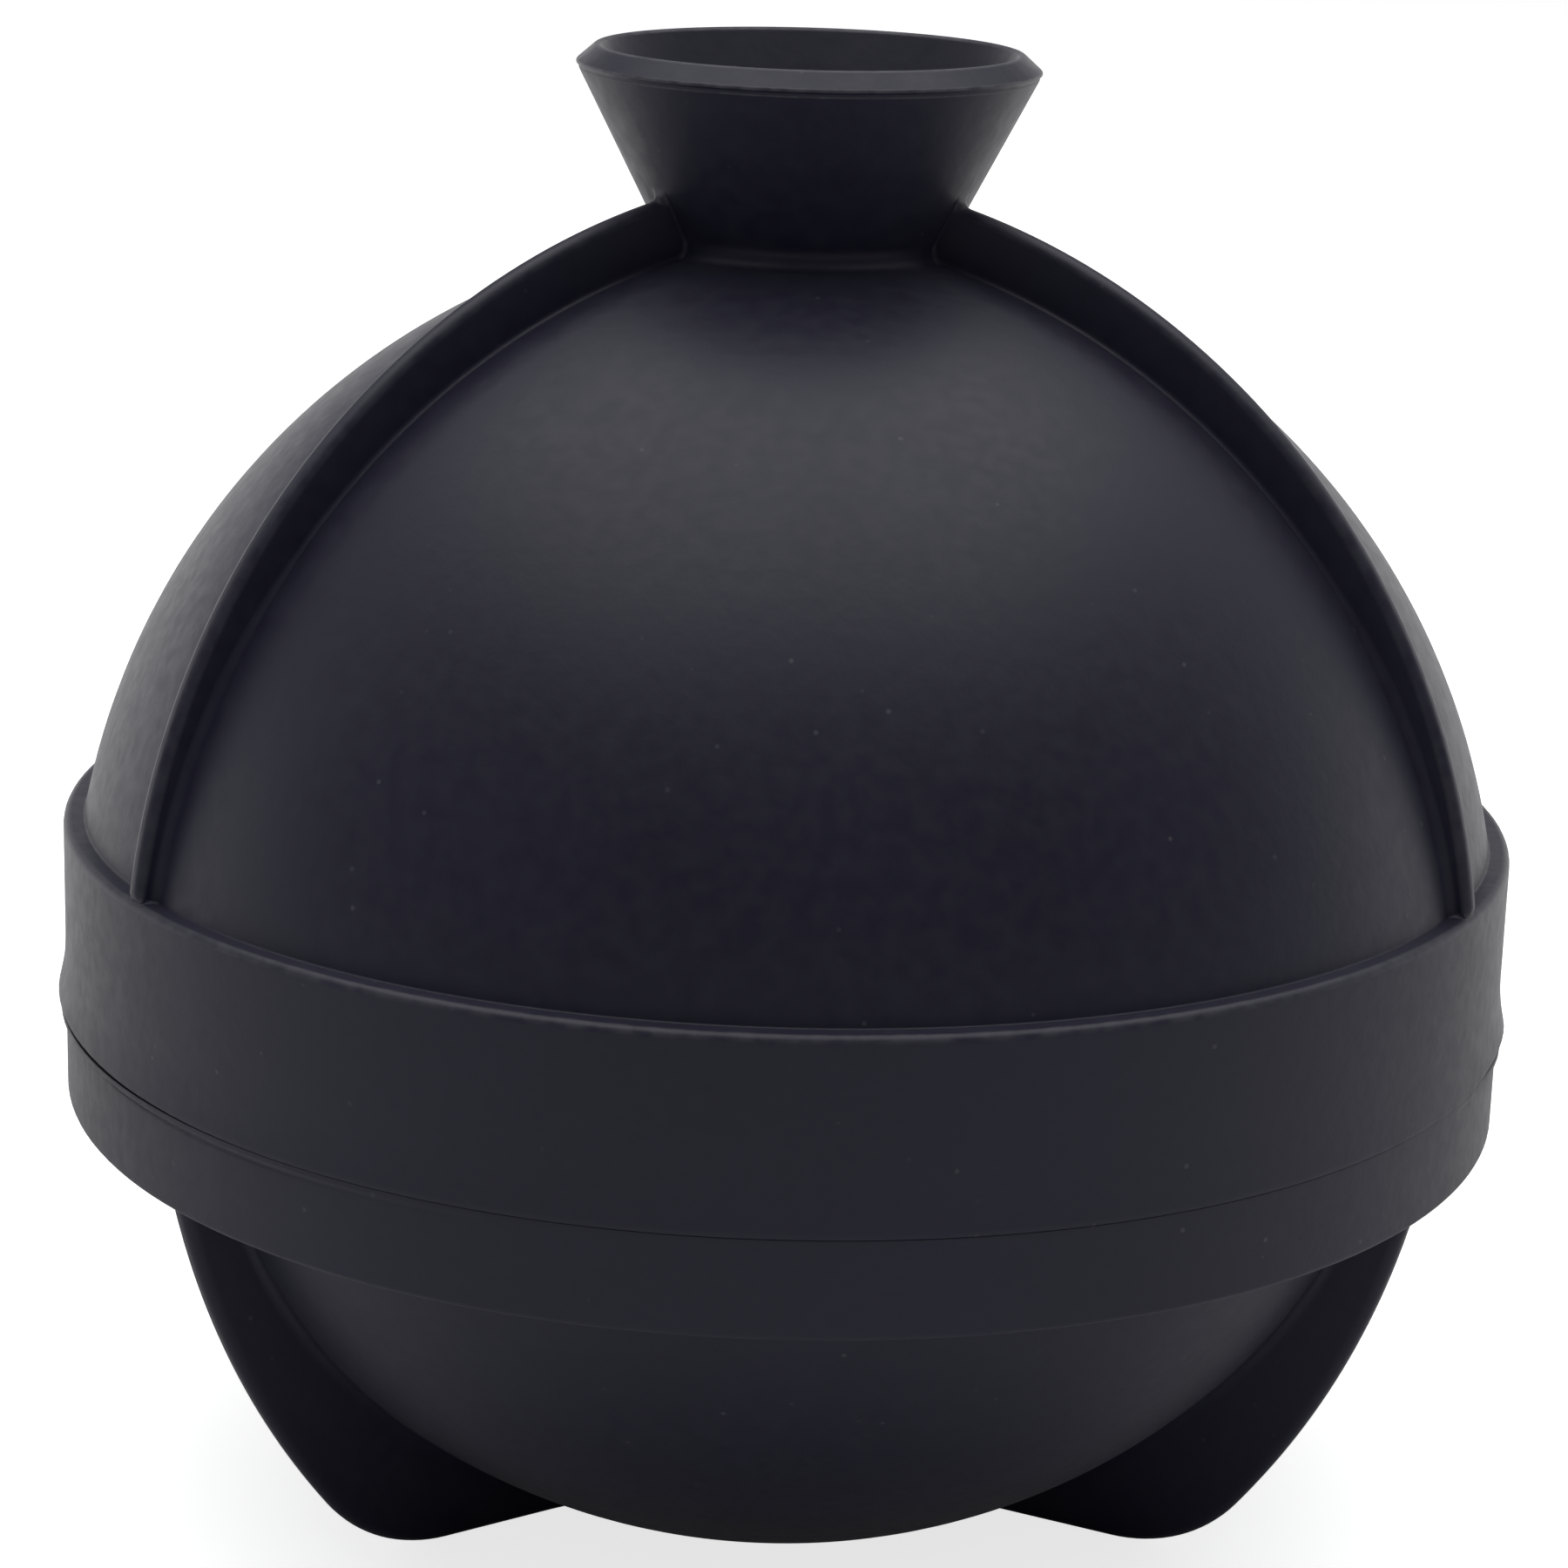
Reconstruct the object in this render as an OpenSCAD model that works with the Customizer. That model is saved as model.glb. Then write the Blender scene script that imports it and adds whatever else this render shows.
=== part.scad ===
// Mould for one large ball of ice, in two silicone halves.
// The lower half is a bowl on three legs, with a ring that stands up inside the upper half.
// The upper half is a ribbed dome with a skirt, and a funnel through which it is filled.
// The origin is on the table under the middle of the bowl, +Z is up and the front is -Y.

/* [Ball] */
// Diameter of the ball of ice
ball_d = 63.5; // [50:0.5:80]

/* [Bowl] */
// Wall of the bowl round the ball
bowl_wall = 4; // [2.8:0.1:5]
// Wall left under the ball, at the flat underside
base_wall = 1.7; // [1.5:0.1:2.4]
// Height of the flat underside above the table
base_lift = 0.6; // [0.2:0.1:1.5]
// Radius of the hollow between the bowl and the collar
collar_fillet = 1.2; // [0.4:0.1:2]
// Height of the collar under the parting line
collar_h = 5; // [3:0.1:7]

/* [Ring between the halves] */
// Height of the ring above the parting line
ring_h = 6; // [4:0.5:8]
// Thickness of the ring at its top
ring_t = 2.4; // [1.6:0.1:3]
// Extra thickness of the ring at its foot
ring_draft = 0.3; // [0:0.1:0.6]
// Gap between the ring and the skirt around it
ring_gap = 0.2; // [0.1:0.05:0.3]
// Bevel on the ring's top edge and inside the skirt's lower edge
ring_bevel = 0.4; // [0.2:0.1:0.8]

/* [Dome and skirt] */
// Wall of the dome above the ball
crown_wall = 2.8; // [2:0.1:4.5]
// Drop of the dome's centre below the ball's centre
dome_drop = 3.45; // [2:0.05:5]
// Step from the dome's radius out to the belt's radius
belt_step = 0.4; // [0.2:0.05:1.5]
// Height of the belt above the parting line
belt_h = 9.8; // [8:0.1:12]
// Rounding of the shoulder at the top of the belt
shoulder_round = 0.4; // [0.3:0.1:1]
// Flare of the skirt at its lower edge
skirt_flare = 0.4; // [0:0.05:0.8]
// Height above the parting line at which the flare starts
flare_h = 3.5; // [2:0.5:6]
// Rounding of the outer edges along the parting line and under the collar
edge_round = 0.25; // [0.15:0.05:0.6]

/* [Funnel] */
// Diameter of the filling hole
hole_d = 11; // [6:0.5:14]
// Length of the filling hole, from the top of the ball
hole_h = 2.1; // [1:0.1:4]
// Angle between the funnel's wall and the upright
funnel_angle = 27; // [15:1:35]
// Thickness of the funnel's wall
funnel_wall = 1.55; // [1.2:0.05:2.4]
// Height of the lip's top above the top of the dome
funnel_h = 9.5; // [6:0.5:14]
// Height of the slope from the lip's outer corner up to its crest
lip_slope = 0.9; // [0.6:0.1:1.4]
// Rounding of the lip's crest, next to the funnel's inside
lip_crest = 0.3; // [0.15:0.05:0.45]
// Radius of the hollow between the funnel and the dome
neck_fillet = 1.2; // [0.5:0.1:2]

/* [Ribs] */
// Number of ribs, with a leg below each
rib_count = 3; // [3:1:6]
// Thickness of a rib
rib_t = 2.2; // [1.6:0.1:3.5]
// How much larger the ribs' arc is than the dome
rib_rise = 1.45; // [0.8:0.05:3]
// Height of the centre of the ribs' arc above the dome's centre
rib_lift = 1.8; // [0.5:0.1:3]
// Rounding of a rib's lower end
rib_toe = 0.8; // [0.7:0.1:2]
// Height of the middle of that rounding above the belt
rib_toe_h = 0.5; // [0.5:0.1:2]
// Radius of the hollow where a rib meets the dome
rib_fillet = 0.3; // [0.2:0.1:1.5]

/* [Legs] */
// Thickness of a leg
leg_t = 2.2; // [1.6:0.1:3.5]
// Distance from the collar's edge in to a leg's outer edge
leg_inset = 1.8; // [1:0.1:4]
// Radius of the leg's outer edge
leg_arc = 47; // [40:0.5:80]
// Rounding of the leg's outer corner at the foot
foot_round = 8.5; // [4:0.5:9]
// Distance from the middle out to where that rounding starts
foot_reach = 21; // [18:0.5:24]
// Distance from the middle out to the inner end of a foot
foot_inner = 9; // [5:0.5:12]
// Radius of the hollow where a leg meets the bowl
leg_fillet = 1.9; // [0.5:0.1:2.5]
// Rounding along the edges of the ribs and the legs
plate_round = 0.4; // [0.2:0.05:0.6]

/* [Hidden] */

$fn = 120;
silicone = [0.13, 0.13, 0.15];

// A hollow's ends are set this far into what it joins, so that its faces cross theirs
sink = 0.03;
// How far a hollow's back, a rib, the top of a leg and the lip run into what they stand on
hollow_root = 0.5;
rib_root = 0.8;
leg_root = 1;
lip_root = 0.5;
// Angle by which a corner of a plate's edge runs on into the stretch next to it
corner_lap = 3;
// How far a cut runs past the face that it opens
past = 1;
// Straight stretches in a rounded corner, and in a hollow between two faces
round_steps = 3;
fillet_steps = 5;
// Straight stretches in the bowed edge of the flat inside a leg's rounded rim
bow_steps = 12;

// Levels and radii that both halves share
ball_r = ball_d / 2;
ball_z = base_lift + base_wall + ball_r;
seam_z = ball_z - ring_h;
collar_z = seam_z - collar_h;
bowl_r = ball_r + bowl_wall;
ring_top_r = ball_r + ring_t;
ring_foot_r = ring_top_r + ring_draft;

// The dome, the belt and the funnel
dome_z = ball_z - dome_drop;
dome_r = ball_r + crown_wall + dome_drop;
belt_r = dome_r + belt_step;
belt_z = seam_z + belt_h;
skirt_r = belt_r + skirt_flare;
hole_r = hole_d / 2;
hole_top_z = ball_z + ball_r + hole_h;
cone_step = funnel_wall / cos(funnel_angle);
top_z = dome_z + dome_r + funnel_h;
lip_z = top_z - lip_slope;

// The ribs' arc, and where it starts above the belt and ends over the hole
rib_r = dome_r + rib_rise;
rib_z = dome_z + rib_lift;
rib_depth = rib_rise + rib_lift + rib_root;
rib_start = asin((belt_z + rib_toe_h - rib_z) / (rib_r - rib_toe));
rib_end = acos(hole_r / rib_r);

// The leg's outer arc touches the foot's rounding and passes through the leg's top
leg_top = [belt_r - leg_inset, collar_z];
foot_mid = [foot_reach, foot_round];
leg_mid = arc_middle(leg_top, leg_arc, foot_mid, leg_arc - foot_round);

// Direction of a rib or a leg, seen from above
function rib_turn(i) = 90 + i * 360 / rib_count;

// Points of an arc round a middle, from one angle to another
function arc(mid, r, from, to, steps) =
    [for (i = [0:steps]) mid + r * dir(from + (to - from) * i / steps)];
function dir(a) = [cos(a), sin(a)];
function angle_of(v) = atan2(v[1], v[0]);

// Point at distance ra from a and rb from b, on the side nearer the mould's axis
function arc_middle(a, ra, b, rb) =
    let (d = norm(b - a), along = (ra * ra - rb * rb + d * d) / (2 * d), u = (b - a) / d)
    a + along * u + sqrt(ra * ra - along * along) * [u[1], -u[0]];

// Outer radius of the funnel's wall at a height
function cone_r(z) = hole_r + cone_step + (z - hole_top_z) * tan(funnel_angle);

// Outline turned round the upright axis
module turned() {
    rotate_extrude() children();
}

// The part of a disc round the axis between two heights
module disc_slice(r, mid_z, low, high) {
    intersection() {
        translate([0, mid_z]) circle(r);
        translate([0, low]) square([r + past, high - low]);
    }
}

// Section of a plate's edge: depth goes inwards from x = 0, and the outer corners are rounded
module plate_edge(t, depth) {
    x = -plate_round;
    y = t / 2 - plate_round;
    polygon(concat(
        [[-depth, t / 2], [-depth, -t / 2]],
        arc([x, -y], plate_round, -90, 0, round_steps),
        arc([x, y], plate_round, 0, 90, round_steps)
    ));
}

// Plate whose outer edge follows an arc. Plates lie in X and Y, with Y for the mould's height
module plate_arc(mid, r, t, depth, from, to) {
    translate(mid) rotate([0, 0, from])
        rotate_extrude(angle = to - from)
            translate([r, 0]) plate_edge(t, depth);
}

// Rounded corner of a plate's outer edge. It lies a hair inside the stretches next to it, and
// runs on into both, so that no two end faces meet
module plate_corner(mid, r, t, depth, from, to) {
    plate_arc(mid, r - sink, t - 2 * sink, depth, from - corner_lap, to + corner_lap);
}

// Hollows on both sides of a plate that stands out of a ball, from one angle to another
module plate_fillets(mid, ball, t, r, from, to) {
    b = ball - sink;
    h = t / 2 - sink;
    c = [sqrt(pow(b + r, 2) - pow(h + r, 2)), h + r];
    on_ball = angle_of(-c) + 360;
    upper = arc(c, r, 270, on_ball, fillet_steps);
    base = (ball - hollow_root) * dir(angle_of(c));
    points = concat(upper, [base]);
    flipped = [for (i = [len(points) - 1:-1:0]) [points[i][0], -points[i][1]]];
    translate(mid) rotate([0, 0, from])
        rotate_extrude(angle = to - from)
            polygon(concat(points, flipped));
}

// Plates set upright round the axis
module round_the_axis() {
    for (i = [0:rib_count - 1])
        rotate([0, 0, rib_turn(i)]) rotate([90, 0, 0]) children();
}

// One rib, with the rounding at its lower end
module rib() {
    toe_mid = [0, rib_z] + (rib_r - rib_toe) * dir(rib_start);
    plate_arc([0, rib_z], rib_r, rib_t, rib_depth, rib_start, rib_end);
    plate_corner(toe_mid, rib_toe, rib_t, rib_toe - 2 * sink, rib_start - 120, rib_start);
    plate_fillets([0, dome_z], dome_r, rib_t, rib_fillet,
        asin((belt_z - shoulder_round - dome_z) / dome_r), acos(hole_r / dome_r));
}

// One leg: a rim along the outer arc, the corner at the foot and the foot, and the flat inside it
module leg() {
    top = asin((collar_z + leg_root - leg_mid[1]) / leg_arc);
    knee = angle_of(foot_mid - leg_mid);
    rim = 3 * plate_round;
    plate_arc(leg_mid, leg_arc, leg_t, rim, knee, top);
    plate_corner(foot_mid, foot_round, leg_t, rim, -90, knee);
    translate([foot_reach, 0]) rotate([90, 0, -90])
        linear_extrude(foot_reach - foot_inner) plate_edge(leg_t, rim);
    linear_extrude(leg_t, center = true)
        polygon(concat(
            [[foot_inner, rim / 2]],
            arc(foot_mid, foot_round - rim / 2, -90, knee, bow_steps),
            arc(leg_mid, leg_arc - rim / 2, knee, top, bow_steps),
            [[foot_inner, collar_z + leg_root]]
        ));
    intersection() {
        plate_fillets([0, ball_z], bowl_r, leg_t, leg_fillet,
            -acos(foot_inner / bowl_r), -asin((ball_z - collar_z - edge_round) / bowl_r));
        translate([0, base_lift, -belt_r]) cube([belt_r, collar_z, 2 * belt_r]);
    }
}

// Outside of the belt, from the middle out
module belt_outline() {
    polygon(concat(
        [[0, seam_z]],
        arc([skirt_r - edge_round, seam_z + edge_round], edge_round, -90, 0, round_steps),
        [[belt_r, seam_z + flare_h]],
        arc([belt_r - shoulder_round, belt_z - shoulder_round], shoulder_round, 0, 90, round_steps),
        [[0, belt_z]]
    ));
}

// Outside of the funnel's wall, and the hollow round its foot
module funnel_outline() {
    foot_z = dome_z + dome_r - crown_wall;
    polygon([[0, foot_z], [cone_r(foot_z), foot_z], [cone_r(lip_z), lip_z], [0, lip_z]]);

    r = neck_fillet;
    slope = tan(funnel_angle);
    k = cone_r(dome_z) - sink + r / cos(funnel_angle);
    reach = dome_r - sink + r;
    up = (sqrt(pow(reach * slope, 2) + pow(reach, 2) - k * k) - k * slope) / (1 + slope * slope);
    c = [k + slope * up, up];
    polygon(concat(
        [[0, dome_z + up]],
        [for (p = arc(c, r, 180 - funnel_angle, angle_of(-c) + 360, fillet_steps)) p + [0, dome_z]],
        [[0, foot_z]]
    ));
}

// Section of the lip: a slope from the outer corner up to a rounded crest beside the inside.
// It lies a hair inside both faces of the wall that it stands on
module lip_outline() {
    foot_z = lip_z - lip_root;
    crest_z = top_z - lip_crest;
    crest_x = cone_r(crest_z) - cone_step + sink + lip_crest / cos(funnel_angle);
    polygon(concat(
        [[cone_r(foot_z) - sink, foot_z], [cone_r(lip_z) - sink, lip_z]],
        arc([crest_x, crest_z], lip_crest, 45, 180 - funnel_angle, fillet_steps),
        [[cone_r(foot_z) - cone_step + sink, foot_z]]
    ));
}

// Space inside the upper half: the ball, the filling hole, the funnel and the ring's seat
module upper_space() {
    mouth_z = top_z + past;
    gap_top = ring_top_r + ring_gap;
    gap_foot = ring_foot_r + ring_gap;
    disc_slice(ball_r, ball_z, ball_z - past, ball_z + ball_r);
    square_from(hole_r, ball_z, hole_top_z);
    polygon([
        [0, hole_top_z], [hole_r, hole_top_z],
        [cone_r(mouth_z) - cone_step, mouth_z], [0, mouth_z]
    ]);
    polygon([
        [0, seam_z - past], [gap_foot + ring_bevel + past, seam_z - past],
        [gap_foot + ring_bevel, seam_z], [gap_foot, seam_z + ring_bevel],
        [gap_top, ball_z], [0, ball_z]
    ]);
}

// Rectangle from the axis out to a radius, between two heights
module square_from(r, low, high) {
    translate([0, low]) square([r, high - low]);
}

// Outside of the collar and of the ring on it, from the middle out
module collar_outline() {
    low = collar_z + edge_round;
    high = seam_z - edge_round;
    out = belt_r - edge_round;
    polygon(concat(
        [[0, collar_z]],
        arc([out, low], edge_round, -90, 0, round_steps),
        arc([out, high], edge_round, 0, 90, round_steps),
        [
            [ring_foot_r, seam_z], [ring_top_r, ball_z - ring_bevel],
            [ring_top_r - ring_bevel, ball_z], [0, ball_z]
        ]
    ));

    r = collar_fillet;
    drop = ball_z - collar_z - sink + r;
    reach = bowl_r - sink + r;
    c = [sqrt(reach * reach - drop * drop), -drop];
    translate([0, ball_z])
        polygon(concat([[0, 0]], arc(c, r, angle_of(-c), 90, fillet_steps), [[0, r - drop]]));
}

// Upper half: dome, belt, funnel and ribs, one moulding
module upper_half() {
    color(silicone) {
        difference() {
            union() {
                turned() {
                    disc_slice(dome_r, dome_z, seam_z + past, dome_z + dome_r);
                    belt_outline();
                    funnel_outline();
                }
                round_the_axis() rib();
            }
            turned() upper_space();
        }
        turned() lip_outline();
    }
}

// Lower half: bowl, collar, ring and legs, one moulding
module lower_half() {
    color(silicone)
        difference() {
            union() {
                turned() {
                    disc_slice(bowl_r, ball_z, base_lift, collar_z + past);
                    collar_outline();
                }
                round_the_axis() leg();
            }
            turned() disc_slice(ball_r, ball_z, base_lift, ball_z + past);
        }
}

upper_half();
lower_half();
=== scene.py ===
from math import acos, asin, atan2, cos, radians, sin, sqrt, tan

import bmesh
import bpy
import numpy as np
from mathutils import Matrix, Vector


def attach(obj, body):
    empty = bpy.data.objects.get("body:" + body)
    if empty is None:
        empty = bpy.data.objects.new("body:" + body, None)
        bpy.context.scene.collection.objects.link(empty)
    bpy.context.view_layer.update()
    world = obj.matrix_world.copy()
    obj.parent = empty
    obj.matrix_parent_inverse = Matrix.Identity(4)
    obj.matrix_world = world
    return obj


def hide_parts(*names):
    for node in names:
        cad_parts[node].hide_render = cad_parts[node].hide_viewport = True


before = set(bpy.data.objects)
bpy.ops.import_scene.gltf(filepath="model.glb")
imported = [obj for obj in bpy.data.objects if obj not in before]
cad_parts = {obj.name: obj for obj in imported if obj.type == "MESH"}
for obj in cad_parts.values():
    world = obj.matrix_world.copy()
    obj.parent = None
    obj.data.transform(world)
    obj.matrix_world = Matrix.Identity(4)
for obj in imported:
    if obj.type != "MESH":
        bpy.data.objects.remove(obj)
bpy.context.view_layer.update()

# The mould is two silicone mouldings. Each is one surface: a section line turned round the axis, out of
# which three plates grow, the ribs of the upper half and the legs of the lower half. The section is worked
# out in millimetres, as distance from the axis and height over the table.
MM = 0.001

# Sizes that the solids have too
BALL_D = 63.5
BOWL_WALL = 4
BASE_WALL = 1.7
BASE_LIFT = 0.6
COLLAR_FILLET = 1.2
COLLAR_H = 5
RING_H = 6
RING_T = 2.4
RING_DRAFT = 0.3
RING_GAP = 0.2
RING_BEVEL = 0.4
CROWN_WALL = 2.8
DOME_DROP = 3.45
BELT_STEP = 0.4
BELT_H = 9.8
SHOULDER_ROUND = 0.4
SKIRT_FLARE = 0.4
FLARE_H = 3.5
EDGE_ROUND = 0.25
HOLE_D = 11
HOLE_H = 2.1
FUNNEL_ANGLE = radians(27)
FUNNEL_WALL = 1.55
FUNNEL_H = 9.5
LIP_SLOPE = 0.9
LIP_CREST = 0.3
RIB_TOE = 0.8
RIB_TOE_H = 0.5
LEG_INSET = 1.8
LEG_ARC = 47
FOOT_ROUND = 8.5
FOOT_REACH = 21
FOOT_INNER = 9
PLATE_ROUND = 0.4
PLATES = 3
FIRST_LEG = radians(90)

# Sizes that follow the real mould closer than the solids do: ribs and legs are thinner, the ribs lower,
# their hollows smaller, and the upper half sits half a degree turned on the lower one
RIB_T = 1.2
RIB_RISE = 0.7
RIB_LIFT = 2.45
RIB_FILLET = 0.25
NECK_FILLET = 0.8
LEG_T = 1.5
LEG_FILLET = 0.6
FIRST_RIB = radians(89.5)

# Small shapes that only this surface has
CREASE_ROUND = 0.12
RIB_EDGE = 0.5
RIB_FILLET_LOW = 0.5
RIB_TOP_FILLET = 0.5
LEG_EDGE = 0.6
LEG_FILLET_HIGH = 0.4
LEG_TOP_FILLET = 0.6
SEAM_ROUND = 0.06
UNDERSIDE_ROUND = 0.8
LIP_ANGLE = radians(46)
LIP_CORNER = 0.12
LIP_STEP = 0.04
LIP_STEP_WIDTH = 0.3

# A rib's hollow widens from this share of the dome's radius over its middle, down over the second share.
# A leg's hollow widens over a drop in millimetres from the collar.
RIB_SOFT_FROM = 0.66
RIB_SOFT_SPAN = 0.2
LEG_SOFT_SPAN = 9

# The skirt sits on the collar with a flare and a gap at both sides, and hardly any in front. A stretch is
# its middle and its width, as angles round the axis.
LEFT_FLARE = radians(188), radians(34)
RIGHT_FLARE = radians(350), radians(14)
FLARE_REST = 0.12
LEFT_GAP = radians(190), radians(24)
RIGHT_GAP = radians(343), radians(8)
LEFT_GAP_H = 0.36
RIGHT_GAP_H = 0.3
GAP_FADE = 2.5
LEFT_BEAD = radians(194), radians(24)
RIGHT_BEAD = radians(342), radians(7)
BEAD = 0.3
BEAD_H = 0.34
BEAD_EDGE = 0.12
RIGHT_BEAD_SHARE = 0.8
GROOVE = 0.18
GROOVE_DROP = 0.15
GROOVE_WIDTH = 0.1

# Paler edges, partly a painted highlight and partly wear: the bend, per millimetre, at which they start and
# over which they grow, and the height over the seam at which they start and over which they grow
HIGHLIGHT_WORN_BEND = 1
HIGHLIGHT_WORN_BEND_SPAN = 3
HIGHLIGHT_WORN_CLEAR = 1
HIGHLIGHT_WORN_CLEAR_SPAN = 2

# Levels and radii worked out from the sizes
ball_r = BALL_D / 2
ball_z = BASE_LIFT + BASE_WALL + ball_r
seam_z = ball_z - RING_H
collar_z = seam_z - COLLAR_H
bowl_r = ball_r + BOWL_WALL
ring_top_r = ball_r + RING_T
ring_foot_r = ring_top_r + RING_DRAFT
dome_z = ball_z - DOME_DROP
dome_r = ball_r + CROWN_WALL + DOME_DROP
belt_r = dome_r + BELT_STEP
belt_z = seam_z + BELT_H
skirt_r = belt_r + SKIRT_FLARE
hole_r = HOLE_D / 2
hole_top_z = ball_z + ball_r + HOLE_H
cone_step = FUNNEL_WALL / cos(FUNNEL_ANGLE)
top_z = dome_z + dome_r + FUNNEL_H
lip_z = top_z - LIP_SLOPE
rib_r = dome_r + RIB_RISE
rib_z = dome_z + RIB_LIFT
rib_start = asin((belt_z + RIB_TOE_H - rib_z) / (rib_r - RIB_TOE))

# Points round each sector between two plates, and the share of it next to a plate that has its own strip
SECTOR_STEPS = 56
SECTOR_GUARD = 0.003
# Width of the narrow strip laid beside each rounding, which keeps the flat next to it flat
GUARD = 0.08
# Points worked out along a curved run for each of its steps
CURVE_POINTS = 8
# Steps of a quarter round across a plate, and shares at which points lie on its side and on its edge
QUARTER_STEPS = 6
SIDE_SHARES = [0, 0.04, 0.25, 0.5, 0.75, 0.9, 1]
CREST_SHARES = [0.8, 0.4, 0]
# Where a plate's edge leaves or meets the surface aslant: near the neck, at a rib's toe, at a leg's top
# and under a foot
RIB_FAN_R = 12
TOE_FAN = radians(4)
LEG_FAN = radians(5)
FOOT_FAN = 2
# Depth under the seam in which rows lie close together, for the bead and the groove
CLOSE_ROWS = 0.8
# Share of the legs' inner end inside which a plate keeps a fixed angle instead of a fixed width
POLE_SHARE = 0.94
# Floors for a distance from the axis, for a length and for a step between two points, in millimetres
LEAST_R = 1e-6
LEAST_LENGTH = 1e-9
LEAST_STEP = 1e-3
# Points closer together than MERGE become one, and what is left narrower than SLIVER goes
MERGE = 0.002
SLIVER = 0.0005
# A point less than this inside the belt's radius is on the mould's outside
OUTSIDE = 1


def cone_r(z):
    """Outer radius of the funnel's wall at height z."""
    return hole_r + cone_step + (z - hole_top_z) * tan(FUNNEL_ANGLE)


def heading(a):
    """Unit vector at angle a."""
    return np.array([cos(a), sin(a)])


def angle_of(v):
    """Angle of a vector, from the first axis."""
    return atan2(v[1], v[0])


def meet(a, ra, b, rb):
    """Point at distance ra from a and rb from b, to the right of the way from a to b."""
    a = np.asarray(a, float)
    gap = np.asarray(b, float) - a
    d = np.linalg.norm(gap)
    u = gap / d
    along = (ra * ra - rb * rb + d * d) / (2 * d)
    return a + along * u + sqrt(ra * ra - along * along) * np.array([u[1], -u[0]])


# Each run below is a line in the section, given with the shares of its length at which rows lie.


def arc(mid, r, start, end, steps):
    """Run along a circle of radius r round mid, between two angles, with rows at even steps."""
    a = np.linspace(start, end, CURVE_POINTS * steps + 1)
    points = np.stack([mid[0] + r * np.cos(a), mid[1] + r * np.sin(a)], axis=1)
    return points, np.linspace(0, 1, steps + 1)


def line(a, b, steps):
    """Straight run from a to b. Rows lie at even steps, and GUARD away from both ends, or a quarter of the
    way on a short one."""
    points = np.array([a, b], float)
    g = min(0.25, GUARD / np.linalg.norm(points[1] - points[0]))
    return points, np.unique(np.concatenate([[0, g], np.linspace(g, 1 - g, steps + 1), [1 - g, 1]]))


def flared(a, b, steps):
    """Run down from a to b that starts upright and leans out more and more, on a parabola."""
    s = np.linspace(0, 1, CURVE_POINTS * steps + 1)
    points = np.stack([a[0] + (b[0] - a[0]) * s * s, a[1] + (b[1] - a[1]) * s], axis=1)
    return points, np.linspace(0, 1, steps + 1)


def groove(a, b, depth, steps):
    """Run from a to b on a parabola that dips by depth to the left of the way."""
    s = np.linspace(0, 1, CURVE_POINTS * steps + 1)[:, None]
    a = np.asarray(a, float)
    way = np.asarray(b, float) - a
    side = np.array([-way[1], way[0]]) / np.linalg.norm(way)
    return a + s * way + 4 * depth * s * (1 - s) * side, np.linspace(0, 1, steps + 1)


def joined(runs):
    """Points of several runs one after the other, each point's share of the whole length, and the rows'
    shares of it."""
    points = [runs[0][0][:1]]
    lengths = [np.zeros(1)]
    rows = [np.zeros(1)]
    total = 0
    for line_points, shares in runs:
        steps = np.linalg.norm(np.diff(line_points, axis=0), axis=1)
        points.append(line_points[1:])
        lengths.append(total + np.cumsum(steps))
        rows.append(total + shares * steps.sum())
        total += steps.sum()
    return np.concatenate(points), np.concatenate(lengths) / total, np.concatenate(rows) / total


def spaced(shares, least):
    """Sorted shares without those that lie closer than least to the one before. Both ends stay."""
    shares = np.unique(np.concatenate([shares, [0, 1]]))
    keep = np.concatenate([[True], np.diff(shares) > least])
    keep[-1] = True
    if shares[-1] - shares[keep][-2] < least:
        keep[np.flatnonzero(keep)[-2]] = False
    return shares[keep]


def along(points, lengths, shares):
    """Points of a line at given shares of its length."""
    return np.stack([np.interp(shares, lengths, points[:, i]) for i in (0, 1)], axis=1)


def plain(*runs):
    """Rows of a surface with no plate on it: base and top are the same."""
    points, lengths, rows = joined(runs)
    base = along(points, lengths, spaced(rows, least=1e-5))
    return base, base


def fan(base_runs, top_runs):
    """Rows of a stretch where a plate's edge leaves the surface. A row joins the points of the base line
    and of the top line that are at the same share of their lengths."""
    base, base_lengths, base_rows = joined(base_runs)
    top, top_lengths, top_rows = joined(top_runs)
    rows = spaced(np.concatenate([base_rows, top_rows]), least=0.008)
    return along(base, base_lengths, rows), along(top, top_lengths, rows)


def over_ball(mid, r, *top_runs):
    """Rows of a stretch where a plate stands square on a ball: each base point is under its top point."""
    points, lengths, rows = joined(top_runs)
    top = along(points, lengths, spaced(rows, least=1e-4))
    out = top - mid
    return mid + r * out / np.linalg.norm(out, axis=1)[:, None], top


def section(stretches):
    """Stretches of rows one after the other, without the rows that two of them share."""
    base = [stretches[0][0]] + [s[0][1:] for s in stretches[1:]]
    top = [stretches[0][1]] + [s[1][1:] for s in stretches[1:]]
    return np.concatenate(base), np.concatenate(top)


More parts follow.
